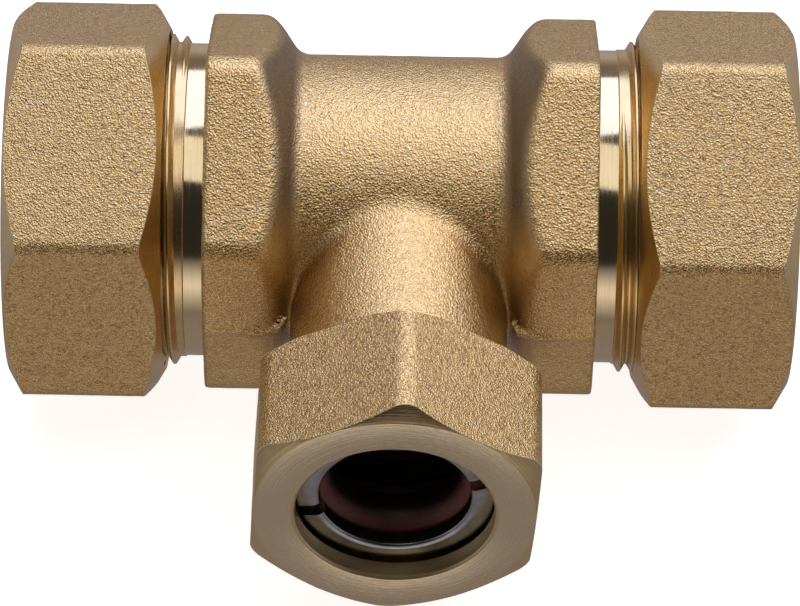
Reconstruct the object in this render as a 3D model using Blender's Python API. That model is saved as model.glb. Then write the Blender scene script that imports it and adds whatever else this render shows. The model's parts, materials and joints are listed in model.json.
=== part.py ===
import bpy
import bmesh
import math
from mathutils import Matrix, Vector

MM = 0.001
TEE_MIDDLE = (0, 12.7014, 23.3316)   # where the port axes cross, over the middle of the footprint

# Pipe line (left and right) ports, millimetres
RUN_HALF = 44.5            # middle of the tee to the mouth of a run nut
RUN_NUT_AF = 41.0          # across the flats
RUN_NUT_LEN = 17.75
RUN_MOUTH_R = 16.6
RUN_FACE_R = 20.3          # outer edge of the flat front face
RUN_REAR_R = 19.6          # outer edge of the back rim
RUN_NUT_BORE_R = 19.35
RUN_LIP = 2.8
RUN_THREAD_R = 19.0
RUN_END = 34.1             # end of the threaded spigot
RUN_BORE_R = 12.2
RUN_SEAT_R = 16.8
RUN_SEAT_FLOOR = 26.9
LAND_R = 17.95
LAND_END = 24.3

# Branch port
BRANCH_LEN = 46.4
BRANCH_NUT_AF = 31.0
BRANCH_NUT_LEN = 15.4
BRANCH_MOUTH_R = 10.97
BRANCH_FACE_R = 15.45
BRANCH_REAR_R = 15.9
BRANCH_NUT_BORE_R = 13.85
BRANCH_LIP = 2.3
BRANCH_THREAD_R = 13.5
BRANCH_END = 37.0
BRANCH_BORE_R = 6.9
BRANCH_SEAT_R = 11.4
BRANCH_SEAT_FLOOR = 31.2
NECK_R = 12.1

# Forged body
BARREL_R = 16.9
COLLAR_AF = 40.4
COLLAR_IN = 12.0
COLLAR_OUT = 22.12
DRAFT_SHIFT = 1.2          # how far the die draft pulls each collar corner in

PITCH = 1.5
THREAD_DEPTH = 0.92
RUN_CORNER_R = 2.0         # forged corners of the hexagons
BRANCH_CORNER_R = 2.5
COLLAR_CORNER_R = 2.4
GAP = 0.3                  # clearance between loose pieces
RUN_SIDES = 48             # facets round a run port
BRANCH_SIDES = 36
KIT_SIDES = 32             # facets round the loose pieces

# Piece sizes inside a port, measured inward from the mouth
RUN_KIT = {
    "ring": (3.1, 5.6, 14.3, 17.4),
    "band_r": 0.55,
    "seal": (5.9, 11.3, 14.6, 12.5, 15.0, 15.6),
    "sleeve": (6.1, 11.2, 15.3, 16.5, 15.9),
    "washer": (16.1, 17.3, 12.4, 16.5),
    "split_turn": 15.0,
}
BRANCH_KIT = {
    "ring": (2.6, 4.5, 8.3, 11.9),
    "band_r": 0.45,
    "seal": (4.8, 9.1, 8.55, 6.95, 9.4, 9.9),
    "sleeve": (5.0, 9.0, 9.7, 11.0, 10.2),
    "washer": (13.9, 14.9, 7.2, 11.1),
    "split_turn": 15.0,
}
RING_SLOT = 1.7            # width of each gap between the two ring halves

for old in list(bpy.data.objects):
    bpy.data.objects.remove(old, do_unlink=True)


def make_material(name, color, metal, rough):
    mat = bpy.data.materials.new(name)
    mat.use_nodes = True
    shader = mat.node_tree.nodes["Principled BSDF"]
    shader.inputs["Base Color"].default_value = (*color, 1.0)
    shader.inputs["Metallic"].default_value = metal
    shader.inputs["Roughness"].default_value = rough
    return mat


def port_frame(outward, origin):
    # local Z points out of the port and local X points up
    z = Vector(outward)
    x = Vector((0, 0, 1))
    y = z.cross(x)
    rot = Matrix((x, y, z)).transposed().to_4x4()
    return Matrix.Translation((Vector(TEE_MIDDLE) + Vector(origin)) * MM) @ rot


RIGHT = port_frame((1, 0, 0), (RUN_HALF, 0, 0))
LEFT = port_frame((-1, 0, 0), (-RUN_HALF, 0, 0))
BRANCH = port_frame((0, -1, 0), (0, -BRANCH_LEN, 0))
RIGHT_MID = port_frame((1, 0, 0), (0, 0, 0))
LEFT_MID = port_frame((-1, 0, 0), (0, 0, 0))
BRANCH_MID = port_frame((0, -1, 0), (0, 0, 0))


def add_object(name, bm, frame, mat=None):
    bmesh.ops.recalc_face_normals(bm, faces=bm.faces)
    mesh = bpy.data.meshes.new(name)
    bm.to_mesh(mesh)
    bm.free()
    obj = bpy.data.objects.new(name, mesh)
    obj.matrix_world = frame
    bpy.context.scene.collection.objects.link(obj)
    if mat:
        mesh.materials.append(mat)
    return obj


def lathe(name, profile, frame, mat=None, sides=RUN_SIDES, turn=0.0):
    # closed (z, r) outline in millimetres, revolved about local Z
    bm = bmesh.new()
    rings = []
    for z, r in profile:
        if r == 0:
            rings.append([bm.verts.new((0, 0, z * MM))])
            continue
        ring = []
        for i in range(sides):
            a = 2 * math.pi * i / sides + turn
            ring.append(bm.verts.new((r * MM * math.cos(a), r * MM * math.sin(a), z * MM)))
        rings.append(ring)
    pairs = list(zip(rings, rings[1:]))
    if profile[0][1] > 0:
        pairs.append((rings[-1], rings[0]))
    for one, two in pairs:
        for i in range(sides):
            j = (i + 1) % sides
            quad = [one[i % len(one)], one[j % len(one)], two[j % len(two)], two[i % len(two)]]
            face = list(dict.fromkeys(quad))
            if len(face) > 2:
                bm.faces.new(face)
    return add_object(name, bm, frame, mat)


def rounded_polygon(corners, radius, steps=3):
    # corners run once round the outline
    points = []
    count = len(corners)
    for i in range(count):
        here = Vector(corners[i])
        before = (Vector(corners[i - 1]) - here).normalized()
        after = (Vector(corners[(i + 1) % count]) - here).normalized()
        half = before.angle(after) / 2
        if half > math.radians(85):
            points.append(here)
            continue
        middle = here + (before + after).normalized() * (radius / math.sin(half))
        start = here + before * (radius / math.tan(half))
        sweep = math.pi - 2 * half
        sign = 1 if before.cross(after) < 0 else -1
        arm = start - middle
        for k in range(steps + 1):
            a = sign * sweep * k / steps
            points.append(middle + Matrix.Rotation(a, 2) @ arm)
    return points


def prism(name, outline, low, high, frame, mat=None):
    bm = bmesh.new()
    bottom = [bm.verts.new((p.x * MM, p.y * MM, low * MM)) for p in outline]
    top = [bm.verts.new((p.x * MM, p.y * MM, high * MM)) for p in outline]
    bm.faces.new(bottom)
    bm.faces.new(top)
    for i in range(len(outline)):
        j = (i + 1) % len(outline)
        bm.faces.new((bottom[i], bottom[j], top[j], top[i]))
    return add_object(name, bm, frame, mat)


def thread_ridge(name, crest_r, low, high, frame, sides):
    # one right-hand helical ridge that sinks into the core at both ends
    root_r = crest_r - THREAD_DEPTH
    section = ((-0.69, -0.3), (-0.69, -0.08), (-0.12, THREAD_DEPTH),
               (0.12, THREAD_DEPTH), (0.69, -0.08), (0.69, -0.3))
    total = int(round((high - low) / PITCH * sides))
    fade = sides // 8
    bm = bmesh.new()
    rings = []
    for i in range(total + 1):
        a = 2 * math.pi * i / sides
        z = low + PITCH * i / sides
        share = min(1.0, i / fade, (total - i) / fade)
        drop = (1 - share) * (THREAD_DEPTH + 0.15)
        ring = []
        for dz, dr in section:
            r = root_r + max(dr - drop, -0.3 + 0.02 * (dr > -0.3))
            ring.append(bm.verts.new((r * MM * math.cos(a), r * MM * math.sin(a), (z + dz) * MM)))
        rings.append(ring)
    for one, two in zip(rings, rings[1:]):
        for k in range(6):
            m = (k + 1) % 6
            bm.faces.new((one[k], one[m], two[m], two[k]))
    bm.faces.new(rings[0])
    bm.faces.new(rings[-1])
    return add_object(name, bm, frame)


def box(name, low, high, frame):
    bm = bmesh.new()
    bmesh.ops.create_cube(bm, size=1.0)
    for v in bm.verts:
        for k in range(3):
            v.co[k] = (low[k] if v.co[k] < 0 else high[k]) * MM
    return add_object(name, bm, frame)


def combine(obj, other, operation):
    mod = obj.modifiers.new(other.name, "BOOLEAN")
    mod.operation = operation
    mod.solver = "EXACT"
    mod.object = other
    other.hide_render = True
    other.display_type = "WIRE"


def bake(obj):
    # keep one finished mesh with crisp edges and smooth rounds
    graph = bpy.context.evaluated_depsgraph_get()
    mesh = bpy.data.meshes.new_from_object(obj.evaluated_get(graph))
    obj.modifiers.clear()
    obj.data = mesh
    mesh.shade_smooth()
    mesh.set_sharp_from_angle(angle=math.radians(28))


def hexagon(across):
    r = across / 2 / math.cos(math.radians(30))
    return [(r * math.cos(math.radians(60 * k)), r * math.sin(math.radians(60 * k))) for k in range(6)]


def build_nut(name, frame, mat, spec):
    across, length, mouth, face, rear, bore, lip, corner, turn = spec
    frame = frame @ Matrix.Rotation(math.radians(turn), 4, "Z")
    nut = prism(name, rounded_polygon(hexagon(across), corner), -length, 0, frame, mat)
    slope = math.tan(math.radians(30))
    reach = across / 2 / math.cos(math.radians(30)) + 1.0
    cone = [(1.0, 0), (1.0, face - 1.0), (0.0, face), (-(reach - face) * slope, reach),
            (-length + (reach - rear) * slope, reach), (-length, rear),
            (-length - 1.0, rear - 1.0), (-length - 1.0, 0)]
    combine(nut, lathe(name + "_chamfer_form", cone, frame), "INTERSECT")
    hole = [(1.0, 0), (1.0, mouth + 1.3), (-0.3, mouth), (-lip, mouth), (-lip - 0.1, bore),
            (-length + 0.2, bore), (-length - 1.0, bore + 1.2), (-length - 1.0, 0)]
    combine(nut, lathe(name + "_bore_form", hole, frame), "DIFFERENCE")
    return nut


def build_ring_half(name, frame, mat, kit, side):
    front, back, inner, outer = kit["ring"]
    groove = kit["band_r"] + 0.15
    mid = -(front + back) / 2
    profile = [(-front, inner + 0.55), (-front, outer - 0.35), (-front - 0.35, outer),
               (mid + groove, outer), (mid + groove * 0.5, outer - groove * 0.85),
               (mid - groove * 0.5, outer - groove * 0.85), (mid - groove, outer),
               (-back + 0.25, outer), (-back, outer - 0.25), (-back, inner + 0.4),
               (-back + 0.4, inner), (-front - 0.6, inner), (-front - 0.15, inner + 0.2)]
    frame = frame @ Matrix.Rotation(math.radians(kit["split_turn"]), 4, "Z")
    half = lathe(name, profile, frame, mat, KIT_SIDES)
    keep = box(name + "_half_form", (RING_SLOT / 2, -outer - 2, -back - 1),
               (outer + 2, outer + 2, -front + 1), frame @ Matrix.Rotation(0 if side > 0 else math.pi, 4, "Z"))
    combine(half, keep, "INTERSECT")
    return half


def build_band(name, frame, mat, kit):
    front, back, inner, outer = kit["ring"]
    groove = kit["band_r"] + 0.15
    r = kit["band_r"] * 0.62
    middle = outer - groove * 0.85 + GAP * 0.5 + r
    mid = -(front + back) / 2
    profile = [(mid + r * math.cos(a), middle + r * math.sin(a))
               for a in [2 * math.pi * k / 6 for k in range(6)]]
    return lathe(name, profile, frame, mat, KIT_SIDES)


def build_seal(name, frame, mat, kit):
    front, back, wide, narrow, outer, rib = kit["seal"]
    funnel = front + (wide - narrow) * 1.2
    mid = (front + back) / 2
    profile = [(-front, wide), (-front, outer), (-mid + 0.9, outer), (-mid + 0.5, rib),
               (-mid - 0.5, rib), (-mid - 0.9, outer), (-back, outer), (-back, narrow),
               (-funnel, narrow)]
    return lathe(name, profile, frame, mat, KIT_SIDES)


def build_sleeve(name, frame, mat, kit):
    front, back, inner, outer, groove = kit["sleeve"]
    mid = (kit["seal"][0] + kit["seal"][1]) / 2
    profile = [(-front, inner), (-front, outer), (-back + 0.5, outer), (-back, outer - 0.5),
               (-back, inner), (-mid - 1.2, inner), (-mid - 0.8, groove), (-mid + 0.8, groove),
               (-mid + 1.2, inner)]
    return lathe(name, profile, frame, mat, KIT_SIDES)


def build_washer(name, frame, mat, kit):
    front, back, inner, outer = kit["washer"]
    profile = [(-front, inner), (-front, outer), (-back, outer), (-back, inner)]
    return lathe(name, profile, frame, mat, KIT_SIDES)


def build_port(prefix, frame, kit, nut_spec):
    build_nut(prefix + "_nut", frame, brass_nut, nut_spec)
    build_ring_half(prefix + "_ring_half_a", frame, ring_steel, kit, 1)
    build_ring_half(prefix + "_ring_half_b", frame, ring_steel, kit, -1)
    build_band(prefix + "_ring_band", frame, band_rubber, kit)
    build_seal(prefix + "_seal", frame, seal_rubber, kit)
    build_sleeve(prefix + "_seal_sleeve", frame, sleeve_brass, kit)
    build_washer(prefix + "_fire_washer", frame, graphite, kit)


def collar_outline():
    flat = COLLAR_AF / 2
    r = flat / math.cos(math.radians(30))
    near = flat - DRAFT_SHIFT
    # local X is up, local Y is along the branch
    corners = [(r, 0), (r / 2, near), (0, flat), (-r / 2, near),
               (-r, 0), (-r / 2, -near), (0, -flat), (r / 2, -near)]
    return rounded_polygon(corners, COLLAR_CORNER_R)


def build_collar(name, frame):
    collar = prism(name, collar_outline(), 11.5, COLLAR_OUT, frame)
    form = [(11.0, 0), (11.4, 16.2), (COLLAR_IN, 17.2), (12.7, 18.6), (13.6, 20.2),
            (14.8, 21.9), (16.2, 23.5), (21.8, 24.2), (COLLAR_OUT + 1, 22.9), (COLLAR_OUT + 1, 0)]
    combine(collar, lathe(name + "_flare_form", form, frame, turn=0.02), "INTERSECT")
    return collar


def build_body():
    root = RUN_THREAD_R - THREAD_DEPTH
    half = [(0, BARREL_R), (LAND_END - 2.6, BARREL_R), (LAND_END - 2.5, LAND_R), (LAND_END, LAND_R),
            (LAND_END + 0.1, root), (RUN_END - 0.5, root), (RUN_END, root - 0.5)]
    line = [(-RUN_END, 0)] + [(-z, r) for z, r in reversed(half[1:])] + half[1:] + [(RUN_END, 0)]
    body = lathe("tee_body", line, RIGHT_MID, brass_body)
    for frame, side in ((RIGHT_MID, "right"), (LEFT_MID, "left")):
        combine(body, build_collar("collar_" + side + "_form", frame), "UNION")
        ridge = thread_ridge("thread_" + side + "_form", RUN_THREAD_R, LAND_END + 0.5, RUN_END - 1.6, frame, 36)
        combine(body, ridge, "UNION")
    root = BRANCH_THREAD_R - THREAD_DEPTH
    neck = [(0, 0), (0.5, NECK_R), (29.2, NECK_R), (29.7, root), (BRANCH_END - 0.5, root),
            (BRANCH_END, root - 0.5), (BRANCH_END, 0)]
    combine(body, lathe("neck_form", neck, BRANCH_MID, sides=BRANCH_SIDES), "UNION")
    ridge = thread_ridge("thread_branch_form", BRANCH_THREAD_R, 30.6, BRANCH_END - 1.6, BRANCH_MID, 30)
    combine(body, ridge, "UNION")
    seat = RUN_SEAT_FLOOR
    bore = [(-RUN_END - 1, 0), (-RUN_END - 1, RUN_SEAT_R + 0.8), (-RUN_END + 0.4, RUN_SEAT_R), (-seat, RUN_SEAT_R),
            (-seat + 0.1, RUN_BORE_R), (seat - 0.1, RUN_BORE_R), (seat, RUN_SEAT_R),
            (RUN_END - 0.4, RUN_SEAT_R), (RUN_END + 1, RUN_SEAT_R + 0.8), (RUN_END + 1, 0)]
    combine(body, lathe("run_bore_form", bore, RIGHT_MID, turn=0.01), "DIFFERENCE")
    seat = BRANCH_SEAT_FLOOR
    bore = [(0.3, 0), (0.3, BRANCH_BORE_R), (seat - 0.1, BRANCH_BORE_R), (seat, BRANCH_SEAT_R),
            (BRANCH_END - 0.4, BRANCH_SEAT_R), (BRANCH_END + 1, BRANCH_SEAT_R + 0.8), (BRANCH_END + 1, 0)]
    combine(body, lathe("branch_bore_form", bore, BRANCH_MID, sides=BRANCH_SIDES, turn=0.01), "DIFFERENCE")


brass_body = make_material("forged_brass", (0.62, 0.44, 0.22), 1.0, 0.45)
brass_nut = make_material("nut_brass", (0.64, 0.47, 0.25), 1.0, 0.4)
sleeve_brass = make_material("sleeve_brass", (0.66, 0.5, 0.27), 1.0, 0.3)
ring_steel = make_material("ring_steel", (0.45, 0.44, 0.42), 1.0, 0.42)
seal_rubber = make_material("seal_rubber", (0.16, 0.05, 0.04), 0.0, 0.5)
band_rubber = make_material("band_rubber", (0.02, 0.02, 0.02), 0.0, 0.6)
graphite = make_material("graphite", (0.07, 0.07, 0.075), 0.2, 0.6)

build_body()
run_spec = (RUN_NUT_AF, RUN_NUT_LEN, RUN_MOUTH_R, RUN_FACE_R, RUN_REAR_R, RUN_NUT_BORE_R, RUN_LIP,
            RUN_CORNER_R)
branch_spec = (BRANCH_NUT_AF, BRANCH_NUT_LEN, BRANCH_MOUTH_R, BRANCH_FACE_R, BRANCH_REAR_R,
               BRANCH_NUT_BORE_R, BRANCH_LIP, BRANCH_CORNER_R)
build_port("left", LEFT, RUN_KIT, (*run_spec, 2.8))
build_port("right", RIGHT, RUN_KIT, (*run_spec, 0.0))
build_port("branch", BRANCH, BRANCH_KIT, (*branch_spec, -3.4))

for obj in list(bpy.data.objects):
    if obj.modifiers and not obj.hide_render:
        bake(obj)
for obj in list(bpy.data.objects):
    if obj.hide_render:
        bpy.data.objects.remove(obj, do_unlink=True)
    else:
        obj.data.shade_smooth()
        obj.data.set_sharp_from_angle(angle=math.radians(28))
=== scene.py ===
import json
import math
import bpy
import numpy as np
from mathutils import Matrix, Vector, noise


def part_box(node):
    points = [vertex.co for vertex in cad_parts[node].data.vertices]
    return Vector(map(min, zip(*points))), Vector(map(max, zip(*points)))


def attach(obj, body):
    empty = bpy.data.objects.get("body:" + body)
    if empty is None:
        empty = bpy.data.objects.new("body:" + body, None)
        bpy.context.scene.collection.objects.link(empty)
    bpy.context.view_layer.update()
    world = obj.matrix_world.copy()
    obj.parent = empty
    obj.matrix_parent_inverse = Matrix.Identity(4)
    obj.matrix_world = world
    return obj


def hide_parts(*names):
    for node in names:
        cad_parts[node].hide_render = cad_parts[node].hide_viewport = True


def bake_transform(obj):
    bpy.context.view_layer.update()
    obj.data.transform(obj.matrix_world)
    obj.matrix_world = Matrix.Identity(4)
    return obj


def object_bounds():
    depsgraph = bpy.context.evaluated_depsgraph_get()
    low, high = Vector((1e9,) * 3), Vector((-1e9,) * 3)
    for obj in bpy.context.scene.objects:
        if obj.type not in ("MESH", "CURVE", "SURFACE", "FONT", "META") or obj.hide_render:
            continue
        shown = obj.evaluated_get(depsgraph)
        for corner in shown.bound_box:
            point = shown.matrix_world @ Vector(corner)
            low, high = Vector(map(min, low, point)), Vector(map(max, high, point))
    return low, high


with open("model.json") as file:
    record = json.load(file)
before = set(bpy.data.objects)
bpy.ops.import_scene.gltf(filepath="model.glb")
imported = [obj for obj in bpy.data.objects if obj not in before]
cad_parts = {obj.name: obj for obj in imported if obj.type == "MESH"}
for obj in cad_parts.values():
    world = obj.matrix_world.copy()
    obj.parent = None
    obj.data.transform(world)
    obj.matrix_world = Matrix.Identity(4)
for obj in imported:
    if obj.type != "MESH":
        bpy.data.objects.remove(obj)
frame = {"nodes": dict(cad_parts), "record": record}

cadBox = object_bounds()
print("frame loaded:", len(frame["nodes"]), "nodes")

mm = 0.001
jointAt = {j["name"]: j for j in frame["record"]["behaviour"]["joints"]}
turnAt = Vector(jointAt["left_nut_turn"]["pos_m"])
teeMiddle = Vector((0, turnAt.y, turnAt.z))
outward = {"left": (-1, 0, 0), "right": (1, 0, 0), "branch": (0, -1, 0)}
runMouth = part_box("right_nut")[1][0] / mm
branchMouth = (teeMiddle.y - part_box("branch_nut")[0][1]) / mm


def portPlace(port, distance=0.0, turn=0.0):
    # local Z leaves the port, local X is up
    z = Vector(outward[port])
    x = Vector((0, 0, 1))
    facing = Matrix((x, z.cross(x), z)).transposed().to_4x4()
    twist = Matrix.Rotation(math.radians(turn), 4, "Z")
    return Matrix.Translation(teeMiddle + z * distance * mm) @ facing @ twist


def meshPiece(name, parts, place, looks, sharp=35):
    # parts: (vertices in millimetres, faces, look number or one per face)
    verts, faces, marks = [], [], []
    for points, quads, mark in parts:
        start = len(verts)
        verts.extend(points)
        faces.extend([[i + start for i in quad] for quad in quads])
        marks.extend(mark if isinstance(mark, (list, tuple)) else [mark] * len(quads))
    mesh = bpy.data.meshes.new(name)
    mesh.from_pydata([(x * mm, y * mm, z * mm) for x, y, z in verts], [], faces)
    for look in looks:
        mesh.materials.append(look)
    mesh.polygons.foreach_set("material_index", marks)
    mesh.update()
    mesh.shade_smooth()
    mesh.set_sharp_from_angle(angle=math.radians(sharp))
    piece = bpy.data.objects.new(name, mesh)
    piece.matrix_world = place
    bpy.context.scene.collection.objects.link(piece)
    return piece


def softened(points, steps=3):
    # (z, r, round) corners become arcs
    line = []
    count = len(points)
    for i in range(count):
        here = Vector(points[i][:2])
        size = points[i][2] if len(points[i]) > 2 else 0
        before = Vector(points[i - 1][:2]) - here
        after = Vector(points[(i + 1) % count][:2]) - here
        if size == 0 or before.length < 1e-6 or after.length < 1e-6:
            line.append(tuple(here))
            continue
        reach = min(size, before.length * 0.45, after.length * 0.45)
        start = here + before.normalized() * reach
        end = here + after.normalized() * reach
        for k in range(steps + 1):
            t = k / steps
            point = start * (1 - t) ** 2 + here * 2 * t * (1 - t) + end * t * t
            line.append(tuple(point))
    return line


def spun(profile, sides=160, look=0, sweep=None):
    # a closed (z, r) outline turned about Z, all the way or over a range of angles
    verts, faces, marks = [], [], []
    rows = len(profile)
    whole = sweep is None
    angles = [2 * math.pi * i / sides for i in range(sides)] if whole else sweep
    for a in angles:
        for z, r in profile:
            turn = a(r) if callable(a) else a
            verts.append((r * math.cos(turn), r * math.sin(turn), z))
    columns = len(angles)
    for i in range(columns if whole else columns - 1):
        j = (i + 1) % columns
        for k in range(rows):
            m = (k + 1) % rows
            faces.append((i * rows + k, j * rows + k, j * rows + m, i * rows + m))
            marks.append(look[k] if isinstance(look, list) else look)
    if not whole:
        faces.append(tuple(range(rows)))
        faces.append(tuple((columns - 1) * rows + k for k in reversed(range(rows))))
        marks += [marks[0], marks[0]]
    return verts, faces, marks


def threadRidge(crest, depth, pitch, low, high, sides=144):
    # one right-hand ridge whose ends sink into the core; its section is (along, out) from the root
    root = crest - depth
    flank, buried = 0.70, -0.3
    section = [(-flank, buried), (-flank, -0.05), (-0.16, depth - 0.06), (-0.09, depth),
               (0.09, depth), (0.16, depth - 0.06), (flank, -0.05), (flank, buried)]
    total = int((high - low) / pitch * sides)
    fade = sides // 6
    verts, faces = [], []
    for i in range(total + 1):
        a = 2 * math.pi * i / sides
        share = min(1, i / fade, (total - i) / fade)
        drop = (1 - share) * (depth + 0.1)
        for dz, dr in section:
            r = root + max(dr - drop, buried + 0.02 * (dr > buried))
            verts.append((r * math.cos(a), r * math.sin(a), low + pitch * i / sides + dz))
    n = len(section)
    for i in range(total):
        for k in range(n):
            m = (k + 1) % n
            faces.append((i * n + k, i * n + m, (i + 1) * n + m, (i + 1) * n + k))
    faces.append(tuple(reversed(range(n))))
    faces.append(tuple(total * n + k for k in range(n)))
    return verts, faces, 0


class Wire:
    # a socket that can be used in plain arithmetic
    def __init__(self, paint, socket):
        self.paint = paint
        self.socket = socket

    def maths(self, kind, *values):
        return self.paint.node("ShaderNodeMath", {"operation": kind}, dict(enumerate(values)))

    def __add__(self, other):
        return self.maths("ADD", self, other)

    def __sub__(self, other):
        return self.maths("SUBTRACT", self, other)

    def __rsub__(self, other):
        return self.maths("SUBTRACT", other, self)

    def __mul__(self, other):
        return self.maths("MULTIPLY", self, other)

    __radd__ = __add__
    __rmul__ = __mul__

    def root(self):
        return self.maths("SQRT", self)

    def above(self, low, high):
        # 0 below low, 1 over high, straight between
        return self.paint.node("ShaderNodeMapRange", {"clamp": True},
                               {"Value": self, "From Min": low, "From Max": high})


class Paint:
    # the node tree of a material or world, and one way to add any node to it
    def __init__(self, owner, shader, **sockets):
        self.owner = owner
        owner.use_nodes = True
        self.tree = owner.node_tree
        self.shader = self.tree.nodes[shader]
        self.finish(**sockets)

    def set(self, node, values):
        for key, value in values.items():
            if isinstance(value, Wire):
                self.tree.links.new(value.socket, node.inputs[key])
            else:
                node.inputs[key].default_value = value

    def node(self, kind, settings=None, values=None, out=0):
        made = self.tree.nodes.new(kind)
        for key, value in (settings or {}).items():
            setattr(made, key, value)
        self.set(made, values or {})
        return Wire(self, made.outputs[out])

    def coords(self):
        return self.node("ShaderNodeTexCoord", out="Object")

    def split(self, vector):
        outs = self.node("ShaderNodeSeparateXYZ", values={0: vector}).socket.node.outputs
        return [Wire(self, outs[i]) for i in range(3)]

    def noise(self, vector, size, detail=2.0, rough=0.5, out=0):
        # size is the feature size in millimetres
        return self.node("ShaderNodeTexNoise", out=out, values={
            "Vector": vector, "Scale": 1 / (size * mm), "Detail": detail, "Roughness": rough})

    def blend(self, share, first, second):
        full = [value if isinstance(value, Wire) else (*value, 1) for value in (first, second)]
        return self.node("ShaderNodeMix", {"data_type": "RGBA", "clamp_factor": True},
                         {0: share, 6: full[0], 7: full[1]}, out=2)

    def bump(self, height, strength, distance):
        return self.node("ShaderNodeBump", values={
            "Strength": strength, "Distance": distance * mm, "Height": height})

    def finish(self, **wires):
        self.set(self.shader, {name.replace("_", " ").title(): value for name, value in wires.items()})
        return self.owner


def metal(name, tone):
    return Paint(bpy.data.materials.new(name), "Principled BSDF", metallic=1.0,
                 roughness=tone["roughness"], base_color=(*tone["color"], 1))


blasted = {
    "color": (0.885, 0.615, 0.265), "deep": (0.67, 0.45, 0.195), "glintSpeck": (1.0, 0.86, 0.54),
    "shadeAndGrime": (0.27, 0.19, 0.13), "smudge": (0.97, 0.88, 0.70),
    "roughness": 0.18, "crater": 0.26, "shake": 0.2, "broad": 7.0, "relief": 0.080,
}


def blastedBrass(name, tone):
    # overlapping shot marks with a little forging scale left between them
    paint = metal(name, tone)
    at = paint.coords()
    shake = paint.node("ShaderNodeVectorMath", {"operation": "SCALE"},
                       {0: paint.noise(at, tone["crater"], 1.0, 0.5, out=1), "Scale": tone["shake"] * mm})
    bent = paint.node("ShaderNodeVectorMath", {"operation": "ADD"}, {0: at, 1: shake})
    marks = paint.node("ShaderNodeTexVoronoi", values={"Vector": bent, "Scale": 1 / (tone["crater"] * mm)})
    fine = paint.noise(at, tone["crater"] * 0.6, 2.0, 0.6)
    coarse = paint.noise(at, tone["crater"] * 2.6, 2.0, 0.5)
    broad = paint.noise(at, tone["broad"], 3.0, 0.6)
    height = marks * 0.9 + fine * 0.8 + coarse * 0.9
    tint = fine * 0.6 + coarse * 0.4
    color = paint.blend(tint.above(0.36, 0.50), tone["deep"], tone["color"])
    # pale specks painted into the colour: painted glints off the grains
    color = paint.blend(fine.above(0.59, 0.65), color, tone["glintSpeck"])
    # this point attribute is painted shade, in the creases and on the cones behind the collars
    paintedShade = paint.node("ShaderNodeAttribute", {"attribute_name": "paintedShade"}, out=2)    # only the tee has it
    color = paint.blend(paint.noise(at, 2.2, 5.0, 0.75).above(0.60, 0.72) * 0.5, color, tone["smudge"])
    # the dark brown paints shade where the attribute says, and random grime blotches through the broad
    # noise
    color = paint.blend(paintedShade * (fine * 1.3 + 0.35) + (broad - 0.55) * 0.3, color, tone["shadeAndGrime"])
    rough = tone["roughness"] + (broad - 0.5) * 0.08 + paintedShade * 0.1
    return paint.finish(base_color=color, roughness=rough, normal=paint.bump(height, 1.0, tone["relief"]))


turned = {
    "color": (0.88, 0.70, 0.40), "deep": (0.70, 0.51, 0.25), "roughness": 0.22,
    "line": 0.16, "relief": 0.020,
}


def turnedBrass(name, tone):
    # tool lines run round the port's axis
    paint = metal(name, tone)
    at = paint.coords()
    x, y, z = paint.split(at)
    r = (x * x + y * y).root()
    across = paint.node("ShaderNodeCombineXYZ", values={0: r, 1: z, 2: (x + y) * 0.02})
    lines = paint.noise(across, tone["line"], 3.0, 0.7)
    smear = paint.noise(at, 2.5, 3.0, 0.6)
    share = lines.above(0.3, 0.7) * 0.5 + smear.above(0.4, 0.7) * 0.3
    color = paint.blend(share, tone["color"], tone["deep"])
    rough = tone["roughness"] + (lines - 0.5) * 0.25 + (smear - 0.5) * 0.1
    return paint.finish(base_color=color, roughness=rough, normal=paint.bump(lines, 0.8, tone["relief"]))


satinSteel = {"color": (0.42, 0.41, 0.40), "dark": (0.33, 0.34, 0.36), "light": (0.52, 0.53, 0.56),
              "roughness": 0.24, "grain": 0.12, "relief": 0.015}


def blastedSteel(name, tone):
    paint = metal(name, tone)
    at = paint.coords()
    grain = paint.noise(at, tone["grain"], 2.0, 0.6)
    cloud = paint.noise(at, 2.0, 3.0, 0.6)
    color = paint.blend(cloud.above(0.3, 0.7), tone["dark"], tone["light"])
    return paint.finish(base_color=color, roughness=tone["roughness"] + (cloud - 0.5) * 0.15,
                        normal=paint.bump(grain, 0.7, tone["relief"]))


boreShadeTone = (0.006, 0.003, 0.003)


def softRubber(name, color, edge, roughness, grain, throat=None):
    # throat: radius of the bore, where the rubber is painted near black as shade deep in the bore
    paint = Paint(bpy.data.materials.new(name), "Principled BSDF",
                  roughness=roughness, base_color=(*color, 1))
    at = paint.coords()
    cloud = paint.noise(at, 1.6, 3.0, 0.6)
    specks = paint.noise(at, grain, 2.0, 0.6)
    shade = paint.blend(cloud.above(0.3, 0.75), color, edge)
    if throat:
        x, y = paint.split(at)[:2]
        inside = (x * x + y * y).root() + (specks - 0.5) * 0.5 * mm
        shadedDeep = inside.above((throat + 1.0) * mm, (throat + 0.25) * mm)
        shade = paint.blend(shadedDeep, shade, boreShadeTone)
    return paint.finish(base_color=shade, roughness=roughness + (cloud - 0.5) * 0.2,
                        normal=paint.bump(specks, 0.5, 0.02))


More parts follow.
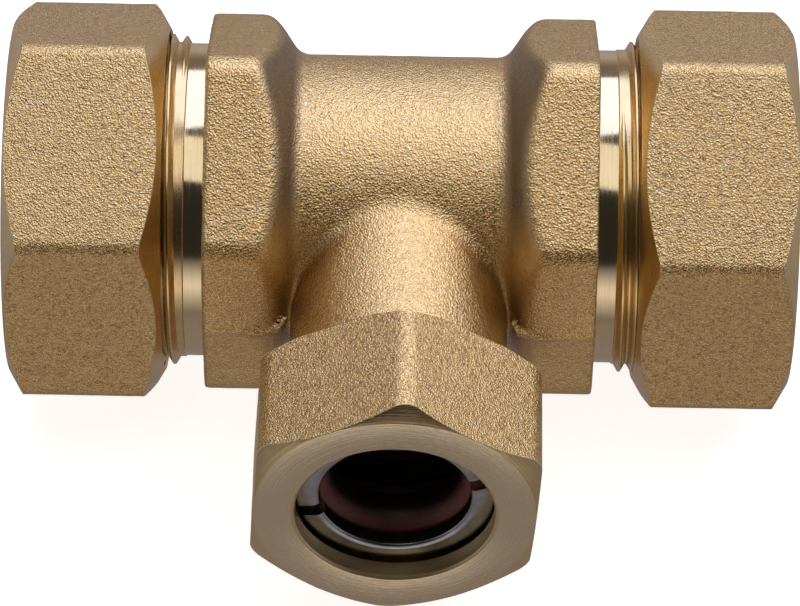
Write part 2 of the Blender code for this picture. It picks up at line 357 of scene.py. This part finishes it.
forged = blastedBrass("forgedBrass", blasted)
nutForged = blastedBrass("forgedNutBrass", {**blasted, "crater": 0.23, "relief": 0.085,
                                            "deep": (0.48, 0.30, 0.125)})
machined = turnedBrass("turnedBrass", turned)
polished = turnedBrass("polishedLand", {**turned, "color": (0.88, 0.77, 0.51), "deep": (0.80, 0.65, 0.38),
                                        "roughness": 0.12, "relief": 0.004})
faceTurned = turnedBrass("facedBrass", {**turned, "color": (0.91, 0.79, 0.55), "deep": (0.76, 0.63, 0.42),
                                        "roughness": 0.26, "line": 0.16, "relief": 0.060})
mouthTurned = turnedBrass("mouthBrass", {**turned, "roughness": 0.40, "line": 0.3, "relief": 0.016})
ringSteel = blastedSteel("gripRingSteel", satinSteel)
# near-black steel for the ring's bore wall: painted shade
ringBoreShade = blastedSteel("gripRingBoreShade", {**satinSteel, "dark": (0.03, 0.028, 0.027),
                                         "light": (0.06, 0.056, 0.054), "roughness": 0.5})
siliconeTone = {"color": (0.12, 0.031, 0.028), "edge": (0.18, 0.050, 0.043),
                "roughness": 0.42, "grain": 0.25}
blackCord = softRubber("blackCord", (0.012, 0.012, 0.012), (0.02, 0.02, 0.02), 0.5, 0.2)
graphite = softRubber("pressedGraphite", (0.05, 0.05, 0.055), (0.08, 0.08, 0.085), 0.45, 0.3)
print("materials made")


body = {
    "barrel": 16.9, "across": 40.4, "draft": 1.2, "collarOut": 22.12,
    "flareIn": 12.0, "flareBase": 17.2, "flareSlope": 1.45,
    "neck": 12.1, "neckEnd": 29.6, "runBore": 12.2, "branchBore": 6.9,
    "cornerBlend": 1.35, "flareBlend": 1.0, "edgeBlend": 0.45, "neckBlend": 1.15, "rootBlend": 1.0,
    "flash": [(17.2, -20.0, 0.0), (15.0, -20.3, 0.1), (13.4, -20.2, 0.7), (12.8, -19.4, 1.5)],
    "flashRadius": 0.36, "flashBlend": 0.5,
    "grid": 0.41, "margin": 0.5, "wander": 0.035, "longWave": 0.33, "shortWave": 0.8, "seam": 0.12,
    "shadeReach": (1.4, 3.2, 7.0), "shadeMost": 0.32,
}


def joined(a, b, k):
    # union of two fields with a fillet
    h = np.maximum(k - np.abs(a - b), 0) / k
    return np.minimum(a, b) - h * h * k / 4


def common(a, b, k):
    return -joined(-a, -b, k)


def strand(p, path):
    # distance to a line through the points of path
    gaps = []
    for start, end in zip(np.array(path), np.array(path[1:])):
        run = end - start
        share = np.clip((p - start) @ run / (run @ run), 0, 1)
        gaps.append(np.linalg.norm(p - start - share[:, None] * run, axis=1))
    return np.minimum.reduce(gaps)


def bodyField(p):
    # distance outside the forging, p in millimetres from the tee's middle
    x, y, z = np.abs(p[:, 0]), p[:, 1], np.abs(p[:, 2])
    r = np.hypot(y, z)
    flat = body["across"] / 2
    tip = flat / math.cos(math.radians(30))
    near = flat - body["draft"]
    rise = Vector((near, tip / 2))
    upper = Vector((tip / 2, near)).normalized()      # normal of the sloping flats, (y, z)
    side = Vector((tip / 2, body["draft"])).normalized()
    slope = (np.abs(y) * upper.x + z * upper.y) - upper.dot(rise)
    front = (np.abs(y) * side.x + z * side.y) - side.x * flat
    hexagon = common(slope, front, body["cornerBlend"])
    mirror = (-np.abs(y) * upper.x + z * upper.y) - upper.dot(rise)
    hexagon = common(hexagon, mirror, body["cornerBlend"] * 1.25)
    lean = 1 / math.hypot(1, body["flareSlope"])
    flare = (r - body["flareBase"] - body["flareSlope"] * (x - body["flareIn"])) * lean
    collar = common(hexagon, flare, body["flareBlend"])
    barrel = r - body["barrel"]
    neck = np.maximum(np.hypot(x, z) - body["neck"], y)
    solid = joined(joined(barrel, neck, body["neckBlend"]), collar, body["rootBlend"])
    flash = strand(np.stack([x, y, p[:, 2]], 1), body["flash"]) - body["flashRadius"]
    solid = joined(solid, flash, body["flashBlend"])
    solid = common(solid, x - body["collarOut"], body["edgeBlend"])
    solid = np.maximum(solid, -y - body["neckEnd"])
    bore = np.maximum(np.hypot(x, z) - body["branchBore"], y)
    return np.maximum(np.maximum(solid, body["runBore"] - r), -bore)


def fieldSlope(p):
    step = 0.02
    slope = np.zeros_like(p)
    for k in range(3):
        move = np.zeros(3)
        move[k] = step
        slope[:, k] = (bodyField(p + move) - bodyField(p - move)) / (2 * step)
    return slope


def surfaceNet(field, low, high, step):
    # quads round the field's zero level, one point per crossed cell
    axes = [np.arange(low[k], high[k] + step, step) for k in range(3)]
    grid = np.stack(np.meshgrid(*axes, indexing="ij"), -1)
    inside = field(grid.reshape(-1, 3)).reshape(grid.shape[:3]) < 0
    size = [n - 1 for n in inside.shape]
    full = sum(inside[i:i + size[0], j:j + size[1], k:k + size[2]].astype(np.int8)
               for i in (0, 1) for j in (0, 1) for k in (0, 1))
    crossed = (full > 0) & (full < 8)
    number = np.cumsum(crossed).reshape(crossed.shape) - 1
    points = np.array(low) + (np.argwhere(crossed) + 0.5) * step
    quads = []
    for axis in range(3):
        order = (axis, (axis + 1) % 3, (axis + 2) % 3)
        solid, ids = np.moveaxis(inside, order, (0, 1, 2)), np.moveaxis(number, order, (0, 1, 2))
        start, end = solid[:-1, 1:-1, 1:-1], solid[1:, 1:-1, 1:-1]
        i, j, k = np.nonzero(start != end)
        quad = np.stack([ids[i, j, k], ids[i, j + 1, k], ids[i, j + 1, k + 1], ids[i, j, k + 1]], 1)
        out = start[i, j, k]
        quads += [quad[out], quad[~out][:, ::-1]]
    return points, np.concatenate(quads)


def forgedBody():
    reach = body["across"] / 2 / math.cos(math.radians(30)) + body["margin"]
    side = body["collarOut"] + body["margin"]
    low, high = (-side, -body["neckEnd"] - body["margin"], -reach), (side, reach, reach)
    p, quads = surfaceNet(bodyField, low, high, body["grid"])
    for again in range(5):    # pull the points onto the surface
        slope = fieldSlope(p)
        size = np.maximum((slope ** 2).sum(1), 0.2)
        p -= slope * np.clip(bodyField(p) / size, -0.8, 0.8)[:, None]
    slope = fieldSlope(p)
    slope /= np.linalg.norm(slope, axis=1)[:, None] + 1e-9
    long = [noise.noise(Vector(q) * body["longWave"]) for q in p]
    short = [noise.noise(Vector(q) * body["shortWave"] + Vector((9, 4, 2))) for q in p]
    wave = np.array(long) + 0.6 * np.array(short)
    # painted shade: the less room there is out along the normal, the darker the point
    clear = [np.clip(bodyField(p + slope * far) / far, 0, 1) for far in body["shadeReach"]]
    paintedShade = np.clip(1.9 - 2.1 * sum(clear) / len(clear), 0, body["shadeMost"])
    # painted shade on the cones behind the collars, darkened brown, least of it low at the front
    cone = np.clip(-1.6 * slope[:, 0] * np.sign(p[:, 0]) - 0.3, 0, 1) * (np.abs(p[:, 0]) > 10)
    shadeGap = np.exp(-((p[:, 1] + 17.5) / 5) ** 2 - ((np.abs(p[:, 2]) - 9) / 5) ** 2)
    paintedShade = np.maximum(paintedShade, cone * (0.85 - 0.5 * shadeGap))
    # the parting line, round the outside at mid height
    seam = np.exp(-(p[:, 2] / 0.3) ** 2) * (np.abs(slope[:, 2]) < 0.4)
    seam *= np.hypot(p[:, 1], p[:, 2]) > 16
    p += slope * (wave * body["wander"] + seam * body["seam"])[:, None]
    mesh = bpy.data.meshes.new("teeForging")
    mesh.from_pydata((p * mm).tolist(), [], quads.tolist())
    mesh.materials.append(forged)
    mesh.attributes.new("paintedShade", "FLOAT", "POINT").data.foreach_set("value", paintedShade)
    mesh.shade_smooth()
    piece = bpy.data.objects.new("teeForging", mesh)
    piece.location = teeMiddle
    bpy.context.scene.collection.objects.link(piece)
    print("forging:", len(p), "points")
    return piece


forging = forgedBody()
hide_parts("tee_body")
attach(forging, "tee")


runEnd = {"land": 17.95, "landFrom": 21.6, "landTo": 24.3, "crest": 19.0, "depth": 0.92, "pitch": 1.5,
          "end": 34.1, "seat": 16.8, "floor": 26.9, "bore": 12.2}
branchEnd = {"land": 12.1, "landFrom": 29.2, "landTo": 29.9, "crest": 13.5, "depth": 0.92, "pitch": 1.5,
             "end": 37.0, "seat": 11.4, "floor": 31.2, "bore": 6.9}


def spigot(name, place, size):
    root = size["crest"] - size["depth"]
    outline = [(size["landFrom"], size["bore"]), (size["landFrom"], size["land"]),
               (size["landTo"], size["land"], 0.05), (size["landTo"] + 0.12, root, 0.0),
               (size["end"] - 0.5, root, 0.1), (size["end"], root - 0.5, 0.1),
               (size["end"], size["seat"] + 0.4, 0.1), (size["end"] - 0.4, size["seat"], 0.1),
               (size["floor"], size["seat"], 0.2), (size["floor"], size["bore"] + 0.3, 0.1),
               (size["floor"] - 0.3, size["bore"], 0.1)]
    core = softened(outline)
    looks = [1 if z < size["landTo"] + 0.05 and r > size["bore"] + 1 else 0 for z, r in core]
    threadFrom, threadTo = size["landTo"] + 0.45, size["end"] - 1.5
    ridge = threadRidge(size["crest"], size["depth"], size["pitch"], threadFrom, threadTo)
    piece = meshPiece(name, [spun(core, 192, looks), ridge], place, [machined, polished])
    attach(piece, "tee")
    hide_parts("tee_body")


for port, size in (("left", runEnd), ("right", runEnd), ("branch", branchEnd)):
    spigot(port + "Spigot", portPlace(port), size)
print("spigots made")


runNut = {"across": 41.0, "length": 17.75, "corner": 2.0, "mouth": 16.6, "face": 20.3, "rear": 19.6,
          "bore": 19.35, "lip": 2.8, "wander": 0.03}
branchNut = {"across": 31.0, "length": 15.4, "corner": 2.5, "mouth": 10.97, "face": 15.45, "rear": 15.9,
             "bore": 13.85, "lip": 2.3, "wander": 0.03}
chamferSlope = math.tan(math.radians(30))
chamferLeast = 0.12
flatSteps = 16


def hexCorner(across, corner):
    # where a corner's arc is centred, and the angle where it meets the flat
    middle = (across / 2 - corner) / math.cos(math.pi / 6)
    return middle, math.atan2(corner / 2, middle + corner * math.cos(math.pi / 6))


def hexReach(angle, across, corner):
    # distance from the axis to a hexagon with rounded corners
    away = abs((angle + math.pi / 6) % (math.pi / 3) - math.pi / 6)
    middle, meets = hexCorner(across, corner)
    if away < meets:
        return middle * math.cos(away) + math.sqrt(corner ** 2 - (middle * math.sin(away)) ** 2)
    return across / 2 / math.cos(math.pi / 6 - away)


def hexAngles(across, corner, rounds=10, flats=14):
    meets = hexCorner(across, corner)[1]
    angles = []
    for side in range(6):
        base = side * math.pi / 3
        angles += [base + meets * (2 * k / rounds - 1) for k in range(rounds)]
        span = math.pi / 3 - 2 * meets
        angles += [base + meets + span * k / flats for k in range(flats)]
    return angles


def hexNut(name, place, size, rider, node):
    length, bore, mouth = size["length"], size["bore"], size["mouth"]
    face, lip = size["face"], size["lip"]
    # one look per face along the outline: rear and chamfer, flat, chamfer, face, bevel, mouth, bore
    looks = [1] * 5 + [0] * flatSteps + [1] * 2 + [2] * 2 + [1] + [3] * 3 + [1] * 4
    rows = len(looks)
    verts, faces, marks = [], [], []
    angles = hexAngles(size["across"], size["corner"])
    for a in angles:
        h = hexReach(a, size["across"], size["corner"])
        rear = min(size["rear"], h - 0.08)
        back = -length + max(h - size["rear"], chamferLeast) * chamferSlope
        front = -(h - face) * chamferSlope
        ring = [(-length + 0.25, bore), (-length, bore + 0.12), (-length, rear - 0.03),
                (-length + 0.03, rear + 0.05), (back - 0.02, h - 0.05), (back + 0.06, h)]
        ring += [(back + 0.06 + (front - back - 0.12) * k / flatSteps, h) for k in range(1, flatSteps)]
        ring += [(front - 0.06, h), (front + 0.02, h - 0.05), (-0.03, face + 0.04), (0, face - 0.04),
                 (0, mouth + 0.38), (-0.05, mouth + 0.26), (-0.3, mouth + 0.02), (-0.42, mouth),
                 (-lip + 0.1, mouth), (-lip, mouth + 0.1), (-lip, bore - 0.2), (-lip - 0.2, bore)]
        for k, (z, r) in enumerate(ring):
            if 5 < k < 5 + flatSteps:    # the flats are not quite flat
                q = Vector((r * math.cos(a), r * math.sin(a), z))
                waves = noise.noise(q * 0.3 + place.translation * 50) + 0.6 * noise.noise(q * 0.9)
                r += size["wander"] * waves
            verts.append((r * math.cos(a), r * math.sin(a), z))
    count = len(angles)
    for i in range(count):
        j = (i + 1) % count
        for k in range(rows):
            m = (k + 1) % rows
            faces.append((i * rows + k, j * rows + k, j * rows + m, i * rows + m))
        marks += looks
    finishes = [nutForged, machined, faceTurned, mouthTurned]
    piece = meshPiece(name, [(verts, faces, marks)], place, finishes, 25)
    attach(piece, rider)
    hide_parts(node)


for port, size, distance, turn in (("left", runNut, runMouth, 2.8), ("right", runNut, runMouth, 0.0),
                                   ("branch", branchNut, branchMouth, -3.4)):
    hexNut(port + "HexNut", portPlace(port, distance, turn), size, port + "_nut_turning", port + "_nut")
print("nuts made")


# ring: front, back, inner, outer; seal: front, back, wide, narrow, outer, rib
# sleeve: front, back, inner, outer, groove
runKit = {"ring": (3.1, 5.6, 14.3, 17.4), "seal": (5.9, 11.3, 14.6, 12.5, 15.0, 15.6),
          "sleeve": (6.1, 11.2, 15.3, 16.5, 15.9), "band": 0.55, "slot": 1.7, "turn": 15.0}
branchKit = {"ring": (2.6, 4.5, 8.3, 11.9), "seal": (4.8, 9.1, 8.55, 6.95, 9.4, 9.9),
             "sleeve": (5.0, 9.0, 9.7, 11.0, 10.2), "band": 0.45, "slot": 1.7, "turn": 15.0}
bandRoom = 0.15
grooveDepth = 0.85


def ringHalf(name, place, kit):
    front, back, inner, outer = kit["ring"]
    groove = kit["band"] + bandRoom
    floor = outer - groove * grooveDepth
    mid = -(front + back) / 2
    outline = [(-front + 0.15, inner + 0.6, 0.6), (-front - 0.15, outer - 1.2, 0.6),
               (-front - 0.3, outer, 0.12), (mid + groove, outer, 0.1), (mid + groove * 0.5, floor, 0.1),
               (mid - groove * 0.5, floor, 0.1), (mid - groove, outer, 0.1),
               (-back, outer, 0.25), (-back, inner, 0.4), (-front - 0.15, inner, 0.5)]
    profile = softened(outline, 4)
    half = kit["slot"] / 2
    steps = 72
    sweep = []
    for k in range(steps + 1):
        share = k / steps
        sweep.append(lambda r, share=share: math.asin(half / r) * (1 - 2 * share) + math.pi * share)
    # the bore wall gets the near-black steel, painted shade
    looks = [1 if r < inner + 0.22 and z < -front - 0.3 else 0 for z, r in profile]
    return meshPiece(name, [spun(profile, look=looks, sweep=sweep)], place, [ringSteel, ringBoreShade])


def cordHalf(name, place, kit):
    # the cord stays together where the ring is split and follows the half everywhere else
    front, back, _, outer = kit["ring"]
    groove = kit["band"] + bandRoom
    thick = kit["band"] * 0.62
    middle = outer - groove * grooveDepth + bandRoom + thick
    mid = -(front + back) / 2
    corners, steps = 14, 160
    turns = [k * math.pi / (corners / 2) for k in range(corners)]
    loop = [(mid + thick * math.cos(t), middle + thick * math.sin(t)) for t in turns]
    sweep = [math.pi * k / steps for k in range(steps + 1)]
    cord = meshPiece(name, [spun(loop, sweep=sweep)], place, [blackCord])
    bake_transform(cord)
    return cord


def portKit(port, kit, distance):
    place = portPlace(port, distance)
    for letter, flip in (("a", 0), ("b", 180)):
        grip = port + "_grip_" + letter
        side = place @ Matrix.Rotation(math.radians(kit["turn"] - 90 + flip), 4, "Z")
        half = ringHalf(port + "GripHalf" + letter.upper(), side, kit)
        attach(half, grip)
        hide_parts(port + "_ring_half_" + letter)
        cord = cordHalf(port + "CordHalf" + letter.upper(), side, kit)
        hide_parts(port + "_ring_band")
    front, back, wide, narrow, outer, rib = kit["seal"]
    funnel = front + (wide - narrow) * 1.2
    mid = -(front + back) / 2
    outline = softened([(-front, wide, 0.25), (-front, outer, 0.3), (mid + 0.9, outer, 0.1),
                        (mid + 0.5, rib, 0.2), (mid - 0.5, rib, 0.2), (mid - 0.9, outer, 0.1),
                        (-back, outer, 0.4), (-back, narrow, 0.4), (-funnel, narrow, 1.0)], 4)
    silicone = softRubber(port + "Silicone", throat=narrow, **siliconeTone)
    seal = meshPiece(port + "Seal", [spun(outline, 128)], place, [silicone])
    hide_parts(port + "_seal")
    front, back, inner, outer, groove = kit["sleeve"]
    outline = softened([(-front, inner, 0.15), (-front, outer, 0.3), (-back + 0.5, outer, 0.1),
                        (-back, outer - 0.5, 0.1), (-back, inner, 0.15), (mid - 1.2, inner, 0.1),
                        (mid - 0.8, groove, 0.1), (mid + 0.8, groove, 0.1), (mid + 1.2, inner, 0.1)])
    sleeve = meshPiece(port + "SealSleeve", [spun(outline, 128)], place, [machined])
    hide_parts(port + "_seal_sleeve")
    for piece in (seal, sleeve):
        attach(piece, port + "_cartridge")
    washer = frame["nodes"][port + "_fire_washer"]
    washer.data.materials.clear()
    washer.data.materials.append(graphite)


portKit("left", runKit, runMouth)
portKit("right", runKit, runMouth)
portKit("branch", branchKit, branchMouth)
print("port internals made")


stage = {"floor": (0.90, 0.895, 0.88), "glow": 0.95, "half": 8.0, "below": 0.0002}
# the room round the brass, by direction
studio = {
    "dim": (0.026, 0.022, 0.020), "frontCard": (0.82, 0.73, 0.70), "under": (0.245, 0.21, 0.205),
    "sides": (0.38, 0.38, 0.41), "back": (0.18, 0.145, 0.13), "backLow": (0.42, 0.37, 0.345),
}
softboxes = [
    {"name": "backBox", "angle": 126, "side": 12, "span": 55, "wide": 1.5,
     "glow": 1.80, "color": (0.66, 0.73, 1.0)},
    {"name": "frontBox", "angle": 78, "side": 4, "span": 32, "wide": 1.3,
     "glow": 0.96, "color": (1.0, 0.925, 0.885)},
]
softboxAway = 1.0
cameraSpec = {"from": (0.002377, -0.399666, 0.434644), "turn": (41.4786, -0.50386, 0.91064),
              "lens": 230.82, "near": 0.05, "far": 40}


def floorSheet():
    half = stage["half"]
    corners = [(-half, -half, 0), (half, -half, 0), (half, half, 0), (-half, half, 0)]
    mesh = bpy.data.meshes.new("floor")
    mesh.from_pydata(corners, [], [(0, 1, 2, 3)])
    paint = Paint(bpy.data.materials.new("paleFloor"), "Principled BSDF", base_color=(*stage["floor"], 1),
                  roughness=0.8, emission_color=(*stage["floor"], 1), emission_strength=stage["glow"])
    mesh.materials.append(paint.owner)
    floor = bpy.data.objects.new("floor", mesh)
    floor.location.z = cadBox[0][2] - stage["below"]
    floor.visible_glossy = False          # the brass mirrors the studio, not the sheet under it
    bpy.context.scene.collection.objects.link(floor)


def softbox(spec):
    light = bpy.data.lights.new(spec["name"], "AREA")
    light.shape = "RECTANGLE"
    light.size = spec["wide"]
    light.size_y = 2 * softboxAway * math.tan(math.radians(spec["span"] / 2))
    light.energy = spec["glow"] * math.pi * light.size * light.size_y
    light.color = spec["color"]
    lamp = bpy.data.objects.new(spec["name"], light)
    a, side = math.radians(spec["angle"]), math.radians(spec["side"])
    way = Vector((math.sin(side), -math.cos(a) * math.cos(side), math.sin(a) * math.cos(side)))
    lamp.location = teeMiddle + way * softboxAway
    lamp.rotation_euler = way.to_track_quat("Z", "Y").to_euler()
    lamp.visible_camera = False
    bpy.context.scene.collection.objects.link(lamp)


def setWorld():
    world = bpy.data.worlds.new("studio")
    bpy.context.scene.world = world
    sky = Paint(world, "Background")
    x, y, z = sky.split(sky.node("ShaderNodeTexCoord", out="Generated"))
    rear = sky.blend(z.above(0.12, -0.16), studio["back"], studio["backLow"])
    color = sky.blend(y.above(-0.1, 0.5), studio["dim"], rear)
    color = sky.blend((x * x).above(0.3, 0.9), color, studio["sides"])
    color = sky.blend(z.above(-0.3, -0.8), color, studio["under"])
    height = z.above(0.08, -0.28) * z.above(-0.70, -0.36)
    card = height * y.above(0.0, -0.5) * (x * x).above(0.45, 0.10)
    sky.finish(color=sky.blend(card, color, studio["frontCard"]))


floorSheet()
for spec in softboxes:
    softbox(spec)
setWorld()
bpy.context.scene.view_settings.view_transform = "Standard"

lens = bpy.data.cameras.new("camera")
lens.lens = cameraSpec["lens"]
lens.sensor_width = 36
lens.clip_start = cameraSpec["near"]
lens.clip_end = cameraSpec["far"]
cam = bpy.data.objects.new("camera", lens)
cam.location = teeMiddle + Vector(cameraSpec["from"])
cam.rotation_euler = [math.radians(t) for t in cameraSpec["turn"]]
bpy.context.scene.collection.objects.link(cam)
bpy.context.scene.camera = cam
print("stage, lights and camera set")
